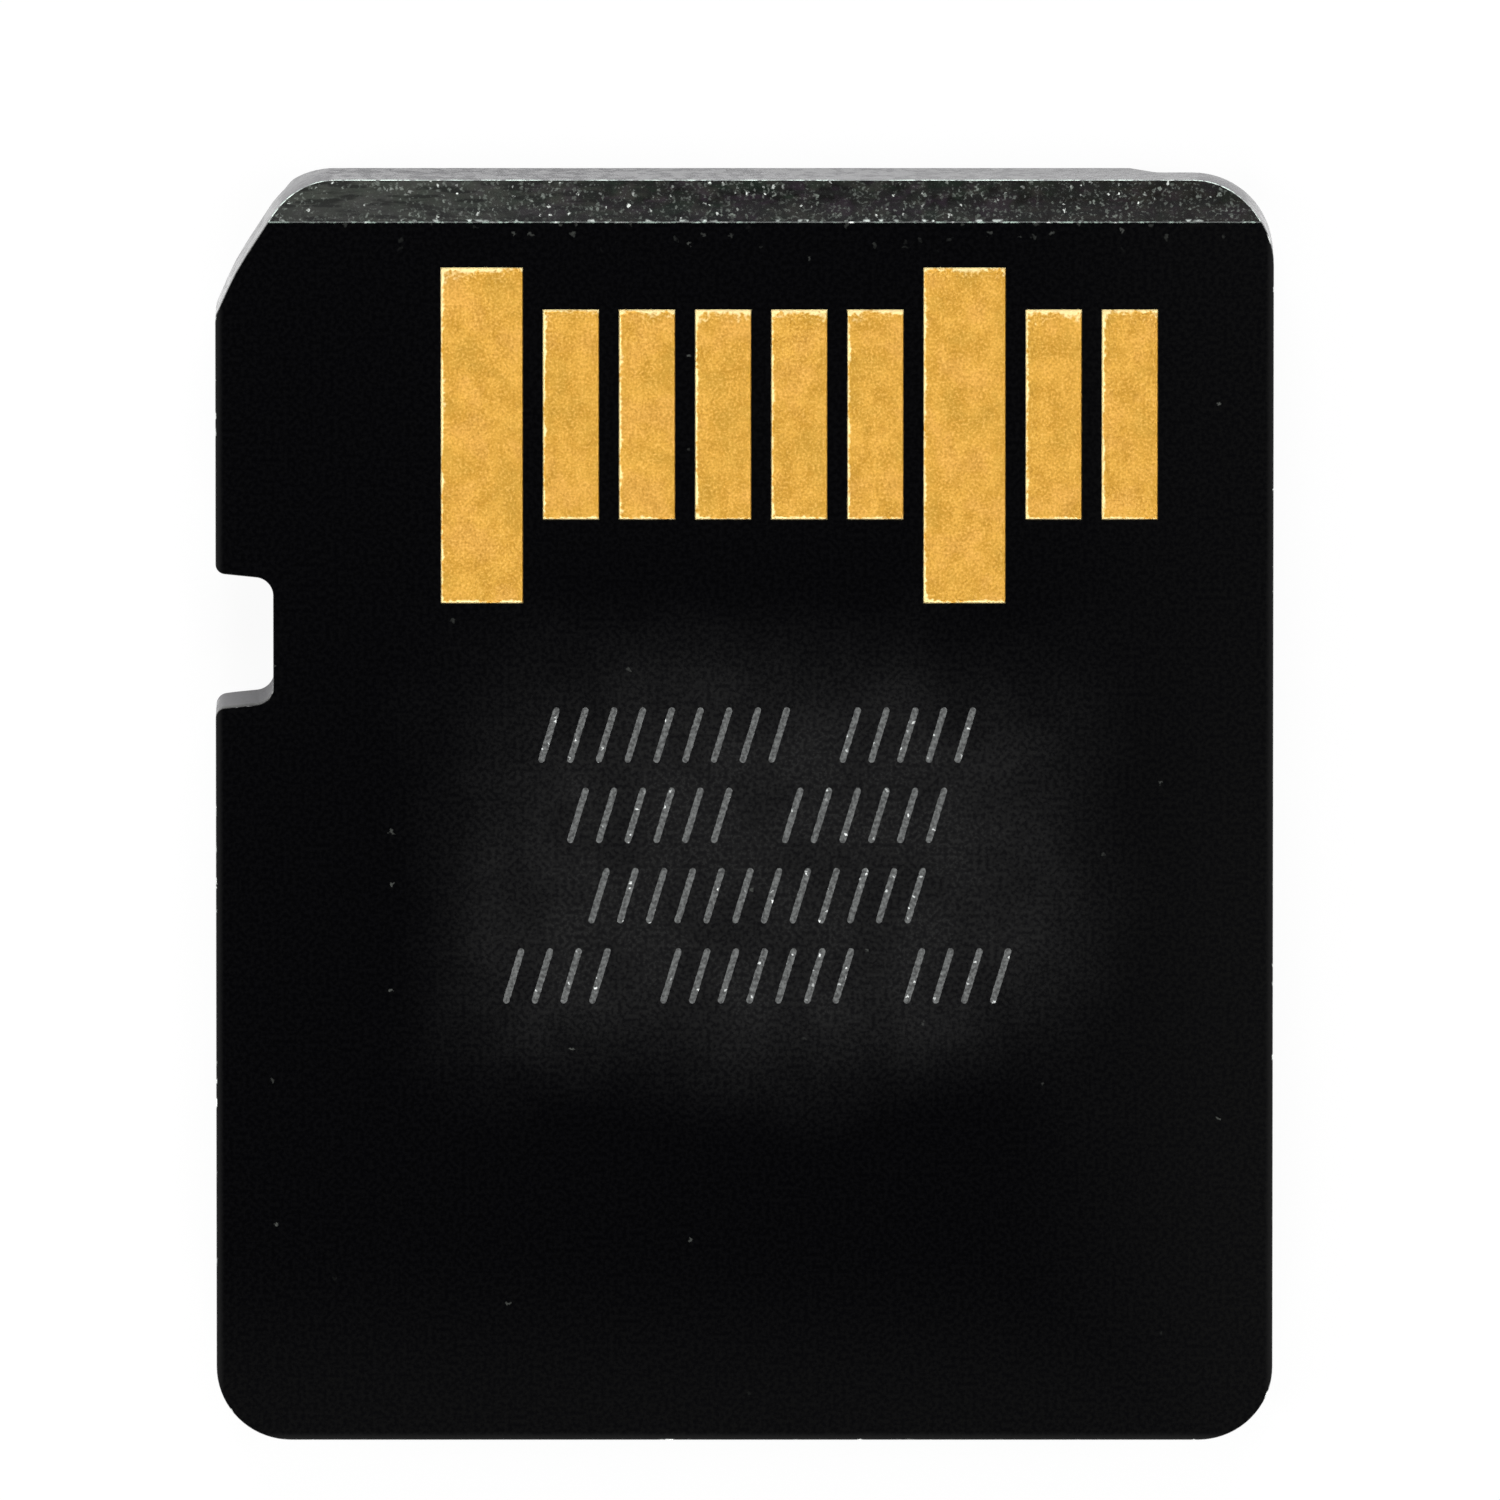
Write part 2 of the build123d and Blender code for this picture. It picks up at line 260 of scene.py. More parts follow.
def ground_material():
    """The ground slope: dark clouds and smears with a purple or a green cast, and painted glints where
    glass is cut.
    """
    graph = Graph("ground_slope")
    x, _, z = graph.axes()
    clouds = graph.noise(0.24, 5.0)
    cast = graph.noise(0.3, 2.0, offset=(4, 1, 2))
    flecks = graph.fit(graph.noise(0.04, 2.0, offset=(9, 2, 5)), 0.56, 0.7)
    smears = graph.noise(0.09, 3.0, stretch=(0.2, 1, 1), offset=(2, 8, 1))
    clusters = graph.fit(graph.noise(0.35, 2.0, offset=(1, 6, 3)), 0.36, 0.6, 0.15, 1.0)
    color = graph.blend(graph.fit(clouds, 0.4, 0.62), srgb(3, 3, 2), srgb(36, 36, 32))
    color = graph.blend(graph.fit(cast, 0.5, 0.64, 0, 0.6), color, srgb(37, 28, 37))
    color = graph.blend(graph.fit(cast, 0.5, 0.36, 0, 0.6), color, srgb(13, 27, 18))
    color = graph.blend(graph.fit(x, -0.5, LEFT + 1.5, 0, 0.56), color, srgb(64, 67, 62))
    color = graph.blend(graph.fit(x, 2.0, RIGHT - 2.0, 0, 0.4), color, srgb(20, 16, 11))
    color = graph.blend(graph.fit(smears, 0.46, 0.58, 0, 0.75), color, srgb(17, 18, 17))
    board = graph.fit(z, BOARD_INSIDE - 0.06, BOARD_INSIDE + 0.08, 0, 0.3)
    color = graph.blend(board, color, srgb(40, 39, 41))
    flecks = graph.math("MULTIPLY", flecks, graph.fit(clouds, 0.4, 0.6, 0.1, 0.5))
    grit = graph.math("MULTIPLY", graph.specks(0.07, 0.024, 0.5), clusters)
    flecks = graph.math("MAXIMUM", flecks, grit)
    color = graph.blend(flecks, color, srgb(108, 114, 108))
    # Painted glints: near-white specks where cut glass catches the light
    painted_glints = graph.math("ADD", graph.specks(0.11, 0.018, 0.3), graph.specks(0.29, 0.024, 0.5))
    painted_glints = graph.math("MULTIPLY", graph.math("POWER", painted_glints, 1.6), clusters)
    color = graph.blend(painted_glints, color, srgb(236, 242, 236))
    below_ridge = graph.fit(z, TOP - 0.04, TOP - EDGE_WEAR)
    # Painted glints on the chips just under the ridge
    chip_glints = graph.math("MULTIPLY", graph.specks(0.13, 0.055, 0.35), below_ridge)
    color = graph.blend(chip_glints, color, srgb(238, 248, 242))
    normal = graph.relief(graph.noise(0.02, 3.0), 0.002)
    return set_shader(graph, color, graph.fit(clouds, 0.3, 0.7, 0.38, 0.55), normal, specular=0.07)


def side_material(name, dark, light):
    """A cut side: dark resin, mottled in its gloss, smooth round the front corners, dull in the notch."""
    graph = Graph(name)
    x, y, _ = graph.axes()
    grain = graph.noise(0.035, 3.0, offset=(7, 3, 1))
    mottle = graph.fit(graph.noise(0.15, 4.0, offset=(3, 5, 2)), 0.36, 0.64)
    from_notch = graph.math("ABSOLUTE", graph.math("SUBTRACT", y, NOTCH_Y))
    beside_notch = graph.fit(from_notch, NOTCH_MOUTH / 2 + 0.1, NOTCH_MOUTH / 2)
    routed = graph.math("MULTIPLY", beside_notch, graph.fit(x, NOTCH_X + 0.1, NOTCH_X, 0, 0.35))
    sawn = graph.fit(x, LEFT, RIGHT, 0.18, 0.04)
    for outside, inside in ((LEFT + CUT_WIDTH, LEFT + 1.5), (RIGHT - 0.4, RIGHT - 1.0)):
        sawn = graph.math("MINIMUM", sawn, graph.fit(x, outside, inside, 0.02, 0.17))
    sawn = graph.math("MAXIMUM", sawn, graph.fit(y, FRONT - 1.6, FRONT - 2.4, 0, 0.2))
    sawn = graph.math("ADD", sawn, graph.fit(mottle, 0, 1, 0.165, 0))
    color = graph.blend(graph.fit(grain, 0.3, 0.7), dark, light)
    color = graph.blend(graph.specks(0.12, 0.02, 0.2, solid=True), color, srgb(120, 120, 118))
    return set_shader(graph, color, graph.math("MAXIMUM", sawn, routed), graph.relief(grain, 0.0008))


def moulded_material():
    """Moulding compound as it leaves the mould: black, matt and finely pitted."""
    graph = Graph("moulded_compound")
    clouds = graph.noise(0.5, 4.0)
    pits = graph.noise(0.05, 3.0, offset=(7, 3, 1))
    color = graph.blend(graph.fit(clouds, 0.3, 0.7), srgb(24, 24, 25), srgb(34, 34, 35))
    return set_shader(graph, color, graph.fit(pits, 0.3, 0.7, 0.45, 0.6), graph.relief(pits, 0.006))


def edge_material(name, dark, light, cover):
    """A broken edge: dark, with pale dashes of painted highlight over a share of its length, and a few
    bright beads that are painted glints.
    """
    graph = Graph(name)
    runs = graph.noise(0.5, 2.0)
    dashes = graph.noise(0.06, 2.0, offset=(3, 9, 4))
    middle = 0.65 - 0.3 * cover
    # Painted highlight: pale dashes where the broken edge catches the light
    painted_light = graph.fit(dashes, middle - 0.08, middle + 0.08)
    painted_light = graph.math("MULTIPLY", painted_light, graph.fit(runs, 0.36, 0.6, 0.2, 1.0))
    color = graph.blend(painted_light, dark, light)
    # Painted glints: a few near-white beads
    color = graph.blend(graph.specks(0.15, 0.06, 0.45, solid=True), color, srgb(248, 252, 248))
    return set_shader(graph, color, graph.fit(painted_light, 0, 1, 0.3, 0.45), graph.relief(dashes, 0.002))


def gold_material():
    """Gold plate over nodular nickel: a matt, mottled grain, a painted pale highlight on the rims lit
    from the left, top and bottom, and painted dull shade on the right rim.
    """
    graph = Graph("contact_gold")
    clouds = graph.noise(0.2, 4.0, stretch=(1.0, 0.7, 1.0))
    patches = graph.noise(0.5, 3.0, offset=(5, 2, 0))
    fine = graph.noise(0.03, 3.0, offset=(1, 8, 0))
    # The painted rim highlight and shade that each pad's vertices carry
    painted_rim_shading = graph.node("ShaderNodeAttribute", attribute_name="painted_rim_shading").outputs["Fac"]
    color = graph.blend(graph.fit(clouds, 0.34, 0.66), srgb(212, 161, 64), srgb(223, 175, 79))
    color = graph.blend(graph.fit(patches, 0.5, 0.66, 0, 0.5), color, srgb(202, 160, 66))
    color = graph.blend(graph.fit(patches, 0.5, 0.34, 0, 0.4), color, srgb(228, 174, 92))
    color = graph.blend(graph.fit(fine, 0.3, 0.52, 0.6, 0.0), color, srgb(198, 144, 52))
    color = graph.blend(graph.fit(fine, 0.48, 0.7, 0.0, 0.5), color, srgb(240, 194, 104))
    # Painted highlight: the lit rims and the top corners turn pale cream
    painted_light = graph.fit(graph.math("ADD", painted_rim_shading, graph.fit(fine, 0.3, 0.7, -0.15, 0.15)), 0.05, 0.9)
    color = graph.blend(painted_light, color, srgb(255, 234, 172))
    # Painted shade: the right rim turns dull and dark
    color = graph.blend(graph.fit(painted_rim_shading, -0.1, -0.7), color, srgb(170, 126, 50))
    roughness = graph.fit(clouds, 0.3, 0.7, 0.55, 0.61)
    roughness = graph.math("ADD", roughness, graph.fit(fine, 0.3, 0.7, -0.04, 0.04))
    return set_shader(graph, color, roughness, graph.relief(fine, 0.0022), metallic=1.0)


def frost_material():
    """Mask frosted by a laser: pale grey, uneven from one pulse to the next, with painted sparkles."""
    graph = Graph("etched_frost")
    pulses = graph.noise(0.04, 3.0)
    color = graph.blend(graph.fit(pulses, 0.3, 0.7), srgb(46, 47, 47), srgb(92, 94, 93))
    painted_sparkles = graph.specks(0.08, 0.02, 0.18)
    # Painted sparkles: near-white specks
    color = graph.blend(painted_sparkles, color, srgb(232, 236, 234))
    return set_shader(graph, color, graph.fit(pulses, 0.3, 0.7, 0.45, 0.6), graph.relief(pulses, 0.003))


def silicon_material():
    """A diced wafer: dark polished silicon with the faint bands of its circuit blocks."""
    graph = Graph("die_silicon")
    blocks = graph.noise(1.1, 1.0, stretch=(1.0, 0.25, 0.2))
    lines = graph.noise(0.05, 1.0, stretch=(1.0, 0.05, 0.2))
    color = graph.blend(graph.fit(blocks, 0.4, 0.6), srgb(72, 76, 88), srgb(112, 108, 122))
    color = graph.blend(graph.fit(lines, 0.4, 0.6, 0, 0.3), color, srgb(140, 132, 120))
    return set_shader(graph, color, graph.fit(blocks, 0.3, 0.7, 0.12, 0.2), metallic=0.6)


def capacitor_material():
    """A chip capacitor: tan ceramic between two tinned ends."""
    graph = Graph("capacitor_ceramic")
    split = graph.node("ShaderNodeSeparateXYZ")
    graph.feed(split.inputs[0], graph.node("ShaderNodeTexCoord").outputs["Generated"])
    from_middle = graph.math("ABSOLUTE", graph.math("SUBTRACT", split.outputs[0], 0.5))
    end = graph.fit(from_middle, 0.245, 0.255)
    grain = graph.noise(0.05, 3.0)
    ceramic = graph.blend(graph.fit(grain, 0.3, 0.7), srgb(160, 128, 96), srgb(188, 158, 124))
    tin = graph.blend(graph.fit(grain, 0.3, 0.7), srgb(176, 178, 180), srgb(208, 210, 212))
    color = graph.blend(end, ceramic, tin)
    return set_shader(graph, color, graph.fit(end, 0, 1, 0.55, 0.35), graph.relief(grain, 0.001))


def wire_material():
    """Drawn gold wire, finer and brighter than the plate."""
    graph = Graph("wire_gold")
    drawn = graph.noise(0.03, 2.0)
    color = graph.blend(graph.fit(drawn, 0.3, 0.7), srgb(236, 186, 92), srgb(250, 210, 124))
    return set_shader(graph, color, graph.fit(drawn, 0.3, 0.7, 0.2, 0.3), metallic=1.0)


def rounded(corners):
    """Points along a closed outline of ((x, y), radius) corners, with its rounds as arcs."""
    points = []
    for index, (place, radius) in enumerate(corners):
        corner = Vector(place)
        if radius == 0:
            points.append(corner)
            continue
        before = (Vector(corners[index - 1][0]) - corner).normalized()
        after = (Vector(corners[(index + 1) % len(corners)][0]) - corner).normalized()
        half = before.angle(after) / 2
        centre = corner + (before + after).normalized() * radius / math.sin(half)
        start = corner + before * radius / math.tan(half) - centre
        turn = math.pi - 2 * half
        way = 1 if after.cross(before) > 0 else -1
        steps = math.ceil(turn / ARC_STEP)
        for step in range(steps + 1):
            points.append(centre + Matrix.Rotation(way * turn * step / steps, 2) @ start)
    return points


def mesh_object(name, mesh_data):
    """A new object in the scene, from a bmesh that is used up."""
    mesh = bpy.data.meshes.new(name)
    mesh_data.to_mesh(mesh)
    mesh_data.free()
    made = bpy.data.objects.new(name, mesh)
    bpy.context.scene.collection.objects.link(made)
    return made


def prism(name, outline, low, high, place):
    """A closed solid on an outline between two heights; place turns (u, v, height) into a point."""
    made = bmesh.new()
    ends = [[made.verts.new(place(u, v, height)) for u, v in outline] for height in (low, high)]
    made.faces.new(ends[0])
    made.faces.new(ends[1])
    for index in range(len(outline)):
        made.faces.new((ends[0][index - 1], ends[0][index], ends[1][index], ends[1][index - 1]))
    bmesh.ops.recalc_face_normals(made, faces=made.faces[:])
    return mesh_object(name, made)


def combine(target, operation, other):
    """Changes a target by a boolean with another object, which is used up."""
    modifier = target.modifiers.new("combine", "BOOLEAN")
    modifier.operation = operation
    modifier.solver = "EXACT"
    modifier.object = other
    evaluated = target.evaluated_get(bpy.context.evaluated_depsgraph_get())
    mesh = bpy.data.meshes.new_from_object(evaluated)
    target.modifiers.clear()
    target.data = mesh
    bpy.data.objects.remove(other)


def upright(u, v, height):
    """A place for an outline drawn in plan."""
    return (u, v, height)


def across(u, v, height):
    """A place for a section across the card, which runs along Y."""
    return (u, height, v)


def along(u, v, height):
    """A place for a section along the card, which runs along X."""
    return (height, u, v)


def plan():
    """The outline seen from the contact side."""
    corners = [
        ((LEFT, REAR), CORNER_RADIUS),
        ((RIGHT, REAR), CORNER_RADIUS),
        ((RIGHT, FRONT), FRONT_CORNER_RADIUS),
        ((LEFT + CUT_WIDTH, FRONT), CUT_FRONT_RADIUS),
        ((LEFT + CUT_BEND_WIDTH, FRONT - CUT_BEND_LENGTH), CUT_BEND_RADIUS),
        ((LEFT, FRONT - CUT_LENGTH), CUT_SIDE_RADIUS),
        ((LEFT, NOTCH_Y + NOTCH_MOUTH / 2), NOTCH_MOUTH_RADIUS),
        ((NOTCH_X, NOTCH_Y + NOTCH_FLOOR / 2), NOTCH_FLOOR_RADIUS),
        ((NOTCH_X, NOTCH_Y - NOTCH_FLOOR / 2), NOTCH_FLOOR_RADIUS),
        ((LEFT, NOTCH_Y - NOTCH_MOUTH / 2), NOTCH_MOUTH_RADIUS),
    ]
    return prism("card", rounded(corners), BOTTOM - OUTLINE_TRIM, TOP, upright)


def cross_section():
    """The moulded section across the card: the deck and the rails beside it."""
    left_step = LEFT + LEFT_RAIL_WIDTH
    right_step = RIGHT - RIGHT_RAIL_WIDTH
    over = TOP + OUTLINE_TRIM
    corners = [
        ((LEFT - OUTLINE_TRIM, over), 0),
        ((LEFT - OUTLINE_TRIM, LEFT_RAIL_RELIEF), LABEL_EDGE_RADIUS),
        ((left_step, LEFT_RAIL_RELIEF), STEP_RADIUS),
        ((left_step + LEFT_STEP_WIDTH, BOTTOM), STEP_RADIUS),
        ((right_step - RIGHT_STEP_WIDTH, BOTTOM), STEP_RADIUS),
        ((right_step, RIGHT_RAIL_RELIEF), STEP_RADIUS),
        ((RIGHT + OUTLINE_TRIM, RIGHT_RAIL_RELIEF), LABEL_EDGE_RADIUS),
        ((RIGHT + OUTLINE_TRIM, over), 0),
    ]
    return prism("section", rounded(corners), 2 * REAR, 2 * FRONT, across)


def side_profile():
    """The moulded section along the card, with the ground bevel."""
    over = TOP + OUTLINE_TRIM
    fall = BEVEL_DEPTH / BEVEL_LENGTH
    corners = [
        ((REAR - OUTLINE_TRIM, over), 0),
        ((REAR - OUTLINE_TRIM, BOTTOM), LABEL_EDGE_RADIUS),
        ((FRONT + OUTLINE_TRIM, BOTTOM), LABEL_EDGE_RADIUS),
        ((FRONT + OUTLINE_TRIM, TOP - BEVEL_DEPTH - OUTLINE_TRIM * fall), 0),
        ((RIDGE_Y - OUTLINE_TRIM / fall, over), 0),
    ]
    return prism("profile", rounded(corners), 2 * LEFT, 2 * RIGHT, along)


def block(name, low, high):
    """A box that passes the card's sides, between two heights."""
    x = 2 * RIGHT
    y = 2 * FRONT
    return prism(name, [Vector(p) for p in ((-x, -y), (x, -y), (x, y), (-x, y))], low, high, upright)


def edge_kind(place):
    """The finish of a broken edge: the bevel's top ridge, the bevel's lip, or any other edge."""
    from_bevel = (place - Vector((0, RIDGE_Y, TOP))).dot(BEVEL_NORMAL)
    if abs(from_bevel) > EDGE_WEAR:
        return EDGE
    return RIDGE if place.z > TOP - EDGE_WEAR else LIP


def wear_edges(card):
    """Gives each face its finish by the way it points, and breaks the sharp edges a little."""
    for _ in FINISHES:
        card.data.materials.append(None)
    made = bmesh.new()
    made.from_mesh(card.data)
    bmesh.ops.dissolve_limit(made, angle_limit=FLAT_ANGLE, verts=made.verts[:], edges=made.edges[:])
    for face in made.faces:
        if face.normal.dot(BEVEL_NORMAL) > ON_BEVEL:
            face.material_index = GROUND
        elif face.normal.z > FACE_UP:
            face.material_index = FACE
        elif face.normal.z < LABEL_DOWN:
            face.material_index = LABEL
        else:
            face.material_index = SIDE
    upper = [edge for edge in made.edges if min(vert.co.z for vert in edge.verts) > TOP / 2]
    sharp = [edge for edge in upper if edge.calc_face_angle(0) > SHARP_ANGLE]
    broken = bmesh.ops.bevel(made, geom=sharp, offset=EDGE_WEAR, offset_type="OFFSET", segments=2,
                             profile=0.5, affect="EDGES")
    for face in broken["faces"]:
        face.material_index = edge_kind(face.calc_center_median())
    made.to_mesh(card.data)
    made.free()


def settle(piece, name, nodes, materials):
    """Names a finished piece, brings it to metres, shades it and sets it on the frame."""
    piece.name = name
    piece.data.name = name
    piece.data.transform(Matrix.Scale(MM, 4))
    slots = piece.data.materials
    for index, material in enumerate(materials):
        if index == len(slots):
            slots.append(material)
        slots[index] = material
    piece.data.shade_smooth()
    piece.data.set_sharp_from_angle(angle=SHARP_ANGLE)
    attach(piece, "root")
    if nodes:
        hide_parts(*nodes)


def copy_of(piece, name):
    """A second object with its own copy of a piece's mesh."""
    made = bpy.data.objects.new(name, piece.data.copy())
    bpy.context.scene.collection.objects.link(made)
    return made


def build_card():
    """The moulded body and the board, cut from one card so that their sides run on."""
    card = plan()
    combine(card, "INTERSECT", cross_section())
    combine(card, "INTERSECT", side_profile())
    wear_edges(card)
    board = copy_of(card, "board")
    combine(board, "INTERSECT", block("upper", BOARD_INSIDE, 2 * TOP))
    combine(card, "INTERSECT", block("lower", -TOP, BOARD_INSIDE))
    for number in range(1, PAD_COUNT + 1):
        low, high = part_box(f"contact_pad_{number}")
        corners = ((low.x, low.y), (high.x, low.y), (high.x, high.y), (low.x, high.y))
        outline = [Vector(corner) / MM for corner in corners]
        combine(board, "DIFFERENCE", prism("window", outline, low.z / MM, 2 * TOP, upright))
    for piece in (card, board):
        flat = piece.modifiers.new("flat_faces", "WEIGHTED_NORMAL")
        flat.keep_sharp = True

    moulded = moulded_material()
    mask = mask_material()
    ground = ground_material()
    # Painted highlights and glints along the bevel's top ridge, which is chipped, and along its lip
    ridge = edge_material("chipped_ridge_painted_highlights", srgb(18, 25, 22), srgb(140, 158, 148), 0.3)
    lip = edge_material("lip_painted_highlights", srgb(116, 118, 118), srgb(226, 242, 233), 0.7)
    moulding_finishes = [
        moulded,
        side_material("sawn_compound", srgb(36, 35, 39), srgb(62, 60, 67)),
        ground,
        moulded,
        moulded,
        ridge,
        lip,
    ]
    board_finishes = [
        mask,
        side_material("sawn_laminate", srgb(34, 34, 33), srgb(60, 60, 57)),
        ground,
        mask,
        edge_material("mask_edge", srgb(10, 10, 10), srgb(60, 60, 58), 0.1),
        ridge,
        lip,
    ]
    settle(card, "card_moulding", ["mould_body"], moulding_finishes)
    settle(board, "card_board", ["substrate_board"], board_finishes)


def spread(low, high, step):
    """Even places from low to high, no further apart than step."""
    count = math.ceil((high - low) / step)
    return [low + (high - low) * index / count for index in range(count + 1)]


# Rims of a pad: which way each one lies, how wide it is, and how much painted highlight it gets (below 0
# is painted shade)
PAD_RIMS = (
    ((-1, 0), 0.045, 1.2),
    ((1, 0), 0.03, -0.3),
    ((0, 1), 0.055, 1.1),
    ((0, 1), 0.16, 0.3),
    ((0, -1), 0.04, 1.2),
)
PAD_CORNER_REACH = 0.16
PAD_CORNER_LIGHT = 0.7


def grid_lines(low, high):
    """Places of a pad's grid lines: close together on the two rims, wider between."""
    rim = max(width for _, width, _ in PAD_RIMS)
    outer = spread(low, low + rim, PAD_GRID / 2)
    inner = spread(low + rim, high - rim, PAD_GRID)
    return outer + inner[1:-1] + [low + high - place for place in reversed(outer)]


def pad_surface(place, centre, half):
    """How far a pad's plate lies below its top at a place, and how much painted highlight or shade its
    rim gets there.
    """
    lumps = noise.noise(Vector((*place, 0.5)) * 5) + noise.noise(Vector((*place, 2.5)) * 22)
    waves = noise.noise(Vector((*place, 7.0)) * 8) + 0.5 * noise.noise(Vector((*place, 9.0)) * 20)
    fall = 0.0
    painted_rim_shading = 0.0
    for way, width, painted_light in PAD_RIMS:
        inset = half.dot(Vector(map(abs, way))) - (place - centre).dot(Vector(way))
        share = max(0.0, 1 - inset / (width * max(0.4, 1 + 0.6 * lumps)))
        fall = max(fall, share)
        painted_rim_shading += share * painted_light * (0.9 + 0.6 * lumps)
    # Painted highlight at the two top corners
    for side in (-1, 1):
        corner = centre + Vector((side * half.x, half.y))
        reach = PAD_CORNER_REACH * max(0.4, 1 + lumps)
        painted_rim_shading += PAD_CORNER_LIGHT * max(0.0, 1 - (place - corner).length / reach)
    return PAD_RIM_DROP * fall ** 2 + PAD_WAVE * (1 + waves), painted_rim_shading


def build_pads():
    """The gold contacts: each one a plate with a soft, uneven rim, set in its window."""
    gold = gold_material()
    for number in range(1, PAD_COUNT + 1):
        low, high = (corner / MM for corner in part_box(f"contact_pad_{number}"))
        centre = ((low + high) / 2).xy
        half = ((high - low) / 2).xy
        made = bmesh.new()
        painted_rim_shading_layer = made.verts.layers.float.new("painted_rim_shading")
        grid = []
        for y in grid_lines(low.y, high.y):
            line = []
            for x in grid_lines(low.x, high.x):
                depth, painted_rim_shading = pad_surface(Vector((x, y)), centre, half)
                vert = made.verts.new((x, y, high.z - depth))
                vert[painted_rim_shading_layer] = painted_rim_shading
                line.append(vert)
            grid.append(line)
        for lower, upper in zip(grid, grid[1:]):
            for a, b, c, d in zip(lower, lower[1:], upper[1:], upper):
                made.faces.new((a, b, c, d))
        rim = grid[0] + [line[-1] for line in grid[1:-1]] + grid[-1][::-1]
        rim += [line[0] for line in reversed(grid[1:-1])]
        foot = [made.verts.new((vert.co.x, vert.co.y, low.z)) for vert in rim]
        for index in range(len(rim)):
            made.faces.new((rim[index], rim[index - 1], foot[index - 1], foot[index]))
        made.faces.new(foot[::-1])
        bmesh.ops.recalc_face_normals(made, faces=made.faces[:])
        piece = mesh_object("pad", made)
        settle(piece, f"gold_contact_{number}", [f"contact_pad_{number}"], [gold])


# Etched marking: rows of slanted strokes in plain groups
MARK_ROWS = ((0.94, (9, 5)), (-0.02, (6, 6)), (-0.98, (12,)), (-1.94, (4, 7, 4)))
MARK_CENTRE = 0.15
MARK_PITCH = 0.34
MARK_SPACE = 0.5
MARK_LENGTH = 0.66
MARK_WIDTH = 0.075
MARK_LEAN = 0.2
MARK_STEPS = 22
MARK_END_STEPS = 6
MARK_WOBBLE = 0.007


def add_stroke(made, x, y):
    """One slanted stroke with rounded ends and an uneven outline, standing just proud of the mask."""
    half = MARK_WIDTH / 2
    lean = Vector((MARK_LEAN, MARK_LENGTH)).normalized()
    side = Vector((-lean.y, lean.x))
    reach = Vector((MARK_LEAN, MARK_LENGTH)).length / 2 - half
    outline = []
    for step in range(MARK_STEPS):
        outline.append(side * -half + lean * (reach * (2 * step / MARK_STEPS - 1)))
    for step in range(MARK_END_STEPS + 1):
        turn = Matrix.Rotation(math.pi * step / MARK_END_STEPS, 2)
        outline.append(lean * reach + turn @ (side * -half))
    for step in range(1, MARK_STEPS):
        outline.append(side * half + lean * (reach * (1 - 2 * step / MARK_STEPS)))
    for step in range(MARK_END_STEPS):
        turn = Matrix.Rotation(math.pi * (1 + step / MARK_END_STEPS), 2)
        outline.append(lean * -reach + turn @ (side * -half))
    lower = []
    upper = []
    for point in outline:
        wobble = MARK_WOBBLE * noise.noise(Vector((x + point.x, y + point.y, 3.0)) * 30)
        edge = point + side * wobble
        lower.append(made.verts.new((x + edge.x, y + edge.y, TOP - MARK_HEIGHT)))
        upper.append(made.verts.new((x + edge.x, y + edge.y, TOP + MARK_HEIGHT)))
    made.faces.new(upper)
    made.faces.new(lower[::-1])
    for index in range(len(outline)):
        made.faces.new((lower[index - 1], lower[index], upper[index], upper[index - 1]))


def build_marks():
    """The etched marking: every row of strokes, centred, as one piece."""
    made = bmesh.new()
    for y, groups in MARK_ROWS:
        length = sum(groups) * MARK_PITCH + (len(groups) - 1) * MARK_SPACE - MARK_PITCH
        x = MARK_CENTRE - length / 2
        for count in groups:
            for _ in range(count):
                add_stroke(made, x, y)
                x += MARK_PITCH
            x += MARK_SPACE
    bmesh.ops.recalc_face_normals(made, faces=made.faces[:])
    settle(mesh_object("marks", made), "etched_marks", [], [frost_material()])


def dress_inside():
    """Finishes of the pieces that the moulding encloses."""
    finishes = {
        "flash_die": silicon_material(),
        "capacitor": capacitor_material(),
        "bond_fingers": bpy.data.materials["contact_gold"],
        "wires": wire_material(),
    }
    finishes["controller_die"] = finishes["flash_die"]
    for name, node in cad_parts.items():
        for key, material in finishes.items():
            if key in name:
                node.material_slots[0].material = material


# Stage: a pale floor, a dim studio with a light horizon, and soft lamps around the card. A lamp has its
# degrees round from +X, its degrees from overhead and its share of the light.
FLOOR_REACH_M = 3.0
FLOOR_GAP_M = 0.00001
FLOOR_COLOR = (0.9, 0.9, 0.9, 1.0)
FLOOR_GLOW = 0.92
FLOOR_MIRROR_GLOW = 0.12
HORIZON_HEIGHT = 0.12
HORIZON_LIGHT = 0.8
OVERHEAD_HEIGHT = 0.7
OVERHEAD_LIGHT = 0.04
LAMP_DISTANCE_M = 0.45
LAMP_SIZE_M = 0.26
LAMPS = {
    "front": (90, 48, 0.36),
    "rear": (270, 50, 0.28),
    "left": (180, 46, 0.3),
    "right": (0, 46, 0.22),
}


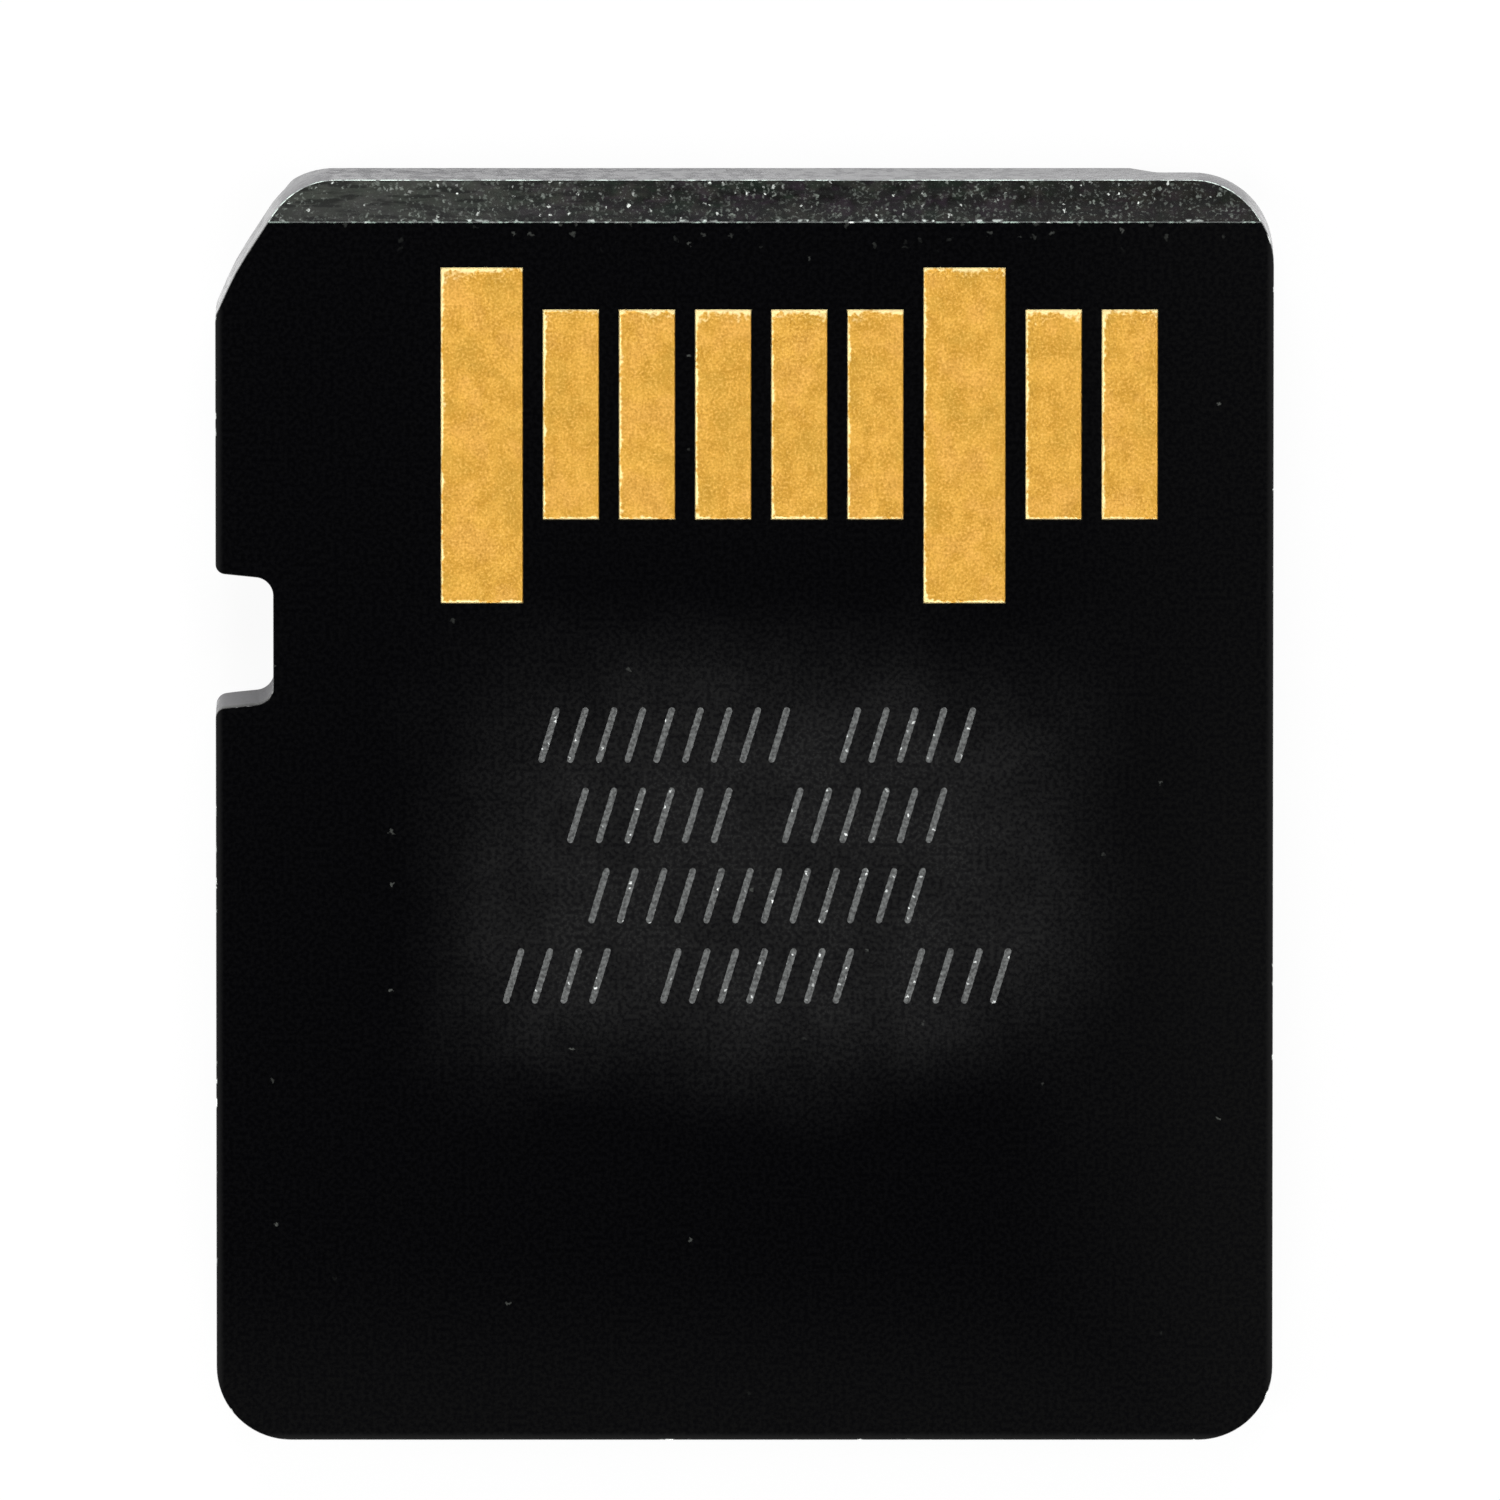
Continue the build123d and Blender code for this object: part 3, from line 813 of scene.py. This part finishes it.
def build_floor():
    """A white sweep: it glows for the camera and in reflections, and still takes the card's shadow."""
    made = bmesh.new()
    bmesh.ops.create_grid(made, x_segments=1, y_segments=1, size=FLOOR_REACH_M)
    floor = mesh_object("floor", made)
    floor.location.z = -FLOOR_GAP_M
    material = bpy.data.materials.new("floor")
    material.use_nodes = True
    nodes = material.node_tree.nodes
    links = material.node_tree.links
    diffuse = nodes["Principled BSDF"]
    diffuse.inputs["Base Color"].default_value = FLOOR_COLOR
    diffuse.inputs["Roughness"].default_value = 1.0
    diffuse.inputs["Specular IOR Level"].default_value = 0.0
    glow = nodes.new("ShaderNodeEmission")
    path = nodes.new("ShaderNodeLightPath")
    mirrored = nodes.new("ShaderNodeMath")
    mirrored.operation = "MULTIPLY"
    mirrored.inputs[1].default_value = FLOOR_MIRROR_GLOW
    seen = nodes.new("ShaderNodeMath")
    seen.operation = "MULTIPLY_ADD"
    seen.inputs[1].default_value = FLOOR_GLOW
    mix = nodes.new("ShaderNodeMixShader")
    links.new(path.outputs["Is Glossy Ray"], mirrored.inputs[0])
    links.new(path.outputs["Is Camera Ray"], seen.inputs[0])
    links.new(mirrored.outputs[0], seen.inputs[2])
    links.new(seen.outputs[0], mix.inputs["Fac"])
    links.new(diffuse.outputs[0], mix.inputs[1])
    links.new(glow.outputs[0], mix.inputs[2])
    links.new(mix.outputs[0], nodes["Material Output"].inputs["Surface"])
    floor.data.materials.append(material)


def build_world():
    """A studio that is light near the floor and dark overhead, and white to the camera."""
    world = bpy.data.worlds.new("studio")
    bpy.context.scene.world = world
    world.use_nodes = True
    nodes = world.node_tree.nodes
    links = world.node_tree.links
    direction = nodes.new("ShaderNodeSeparateXYZ")
    links.new(nodes.new("ShaderNodeTexCoord").outputs["Generated"], direction.inputs[0])
    height = nodes.new("ShaderNodeMapRange")
    height.interpolation_type = "SMOOTHSTEP"
    height.inputs["From Min"].default_value = HORIZON_HEIGHT
    height.inputs["From Max"].default_value = OVERHEAD_HEIGHT
    height.inputs["To Min"].default_value = HORIZON_LIGHT
    height.inputs["To Max"].default_value = OVERHEAD_LIGHT
    links.new(direction.outputs["Z"], height.inputs["Value"])
    path = nodes.new("ShaderNodeLightPath")
    mix = nodes.new("ShaderNodeMix")
    links.new(path.outputs["Is Camera Ray"], mix.inputs["Factor"])
    links.new(height.outputs["Result"], mix.inputs["A"])
    mix.inputs["B"].default_value = 1.0
    links.new(mix.outputs["Result"], nodes["Background"].inputs["Color"])


def build_lamps():
    """Square soft lamps that face the card and stay out of the picture."""
    for name, (around, from_zenith, share) in LAMPS.items():
        turn = math.radians(around)
        tilt = math.radians(from_zenith)
        sideways = Vector((math.cos(turn), math.sin(turn), 0)) * math.sin(tilt)
        direction = sideways + Vector((0, 0, math.cos(tilt)))
        lamp = bpy.data.lights.new(f"lamp_{name}", "AREA")
        lamp.size = LAMP_SIZE_M
        lamp.energy = share * 4 * math.pi * LAMP_DISTANCE_M ** 2 / math.cos(tilt)
        holder = bpy.data.objects.new(f"lamp_{name}", lamp)
        bpy.context.scene.collection.objects.link(holder)
        holder.location = direction * LAMP_DISTANCE_M
        holder.rotation_euler = direction.to_track_quat("Z", "Y").to_euler()
        holder.visible_camera = False


# Camera: the photograph's view, from above and a little towards the insertion end
CAMERA_TILT = math.radians(8.5)
CAMERA_DISTANCE_M = 0.65
CAMERA_CLIP_M = 10.0
FRAME_WIDTH_M = 0.01773
CAMERA_TARGET_M = Vector((0.000065, 0.000761, 0.0016))


def build_camera():
    """A long lens that looks at the card from CAMERA_TILT off the upright."""
    data = bpy.data.cameras.new("camera")
    data.lens = data.sensor_width * CAMERA_DISTANCE_M / FRAME_WIDTH_M
    data.clip_end = CAMERA_CLIP_M
    camera = bpy.data.objects.new("camera", data)
    bpy.context.scene.collection.objects.link(camera)
    back = Vector((0, math.sin(CAMERA_TILT), math.cos(CAMERA_TILT)))
    camera.location = CAMERA_TARGET_M + back * CAMERA_DISTANCE_M
    camera.rotation_euler = (-CAMERA_TILT, 0, 0)
    bpy.context.scene.camera = camera


build_card()
build_pads()
build_marks()
dress_inside()
build_floor()
build_world()
build_lamps()
build_camera()
bpy.context.scene.view_settings.view_transform = "Standard"
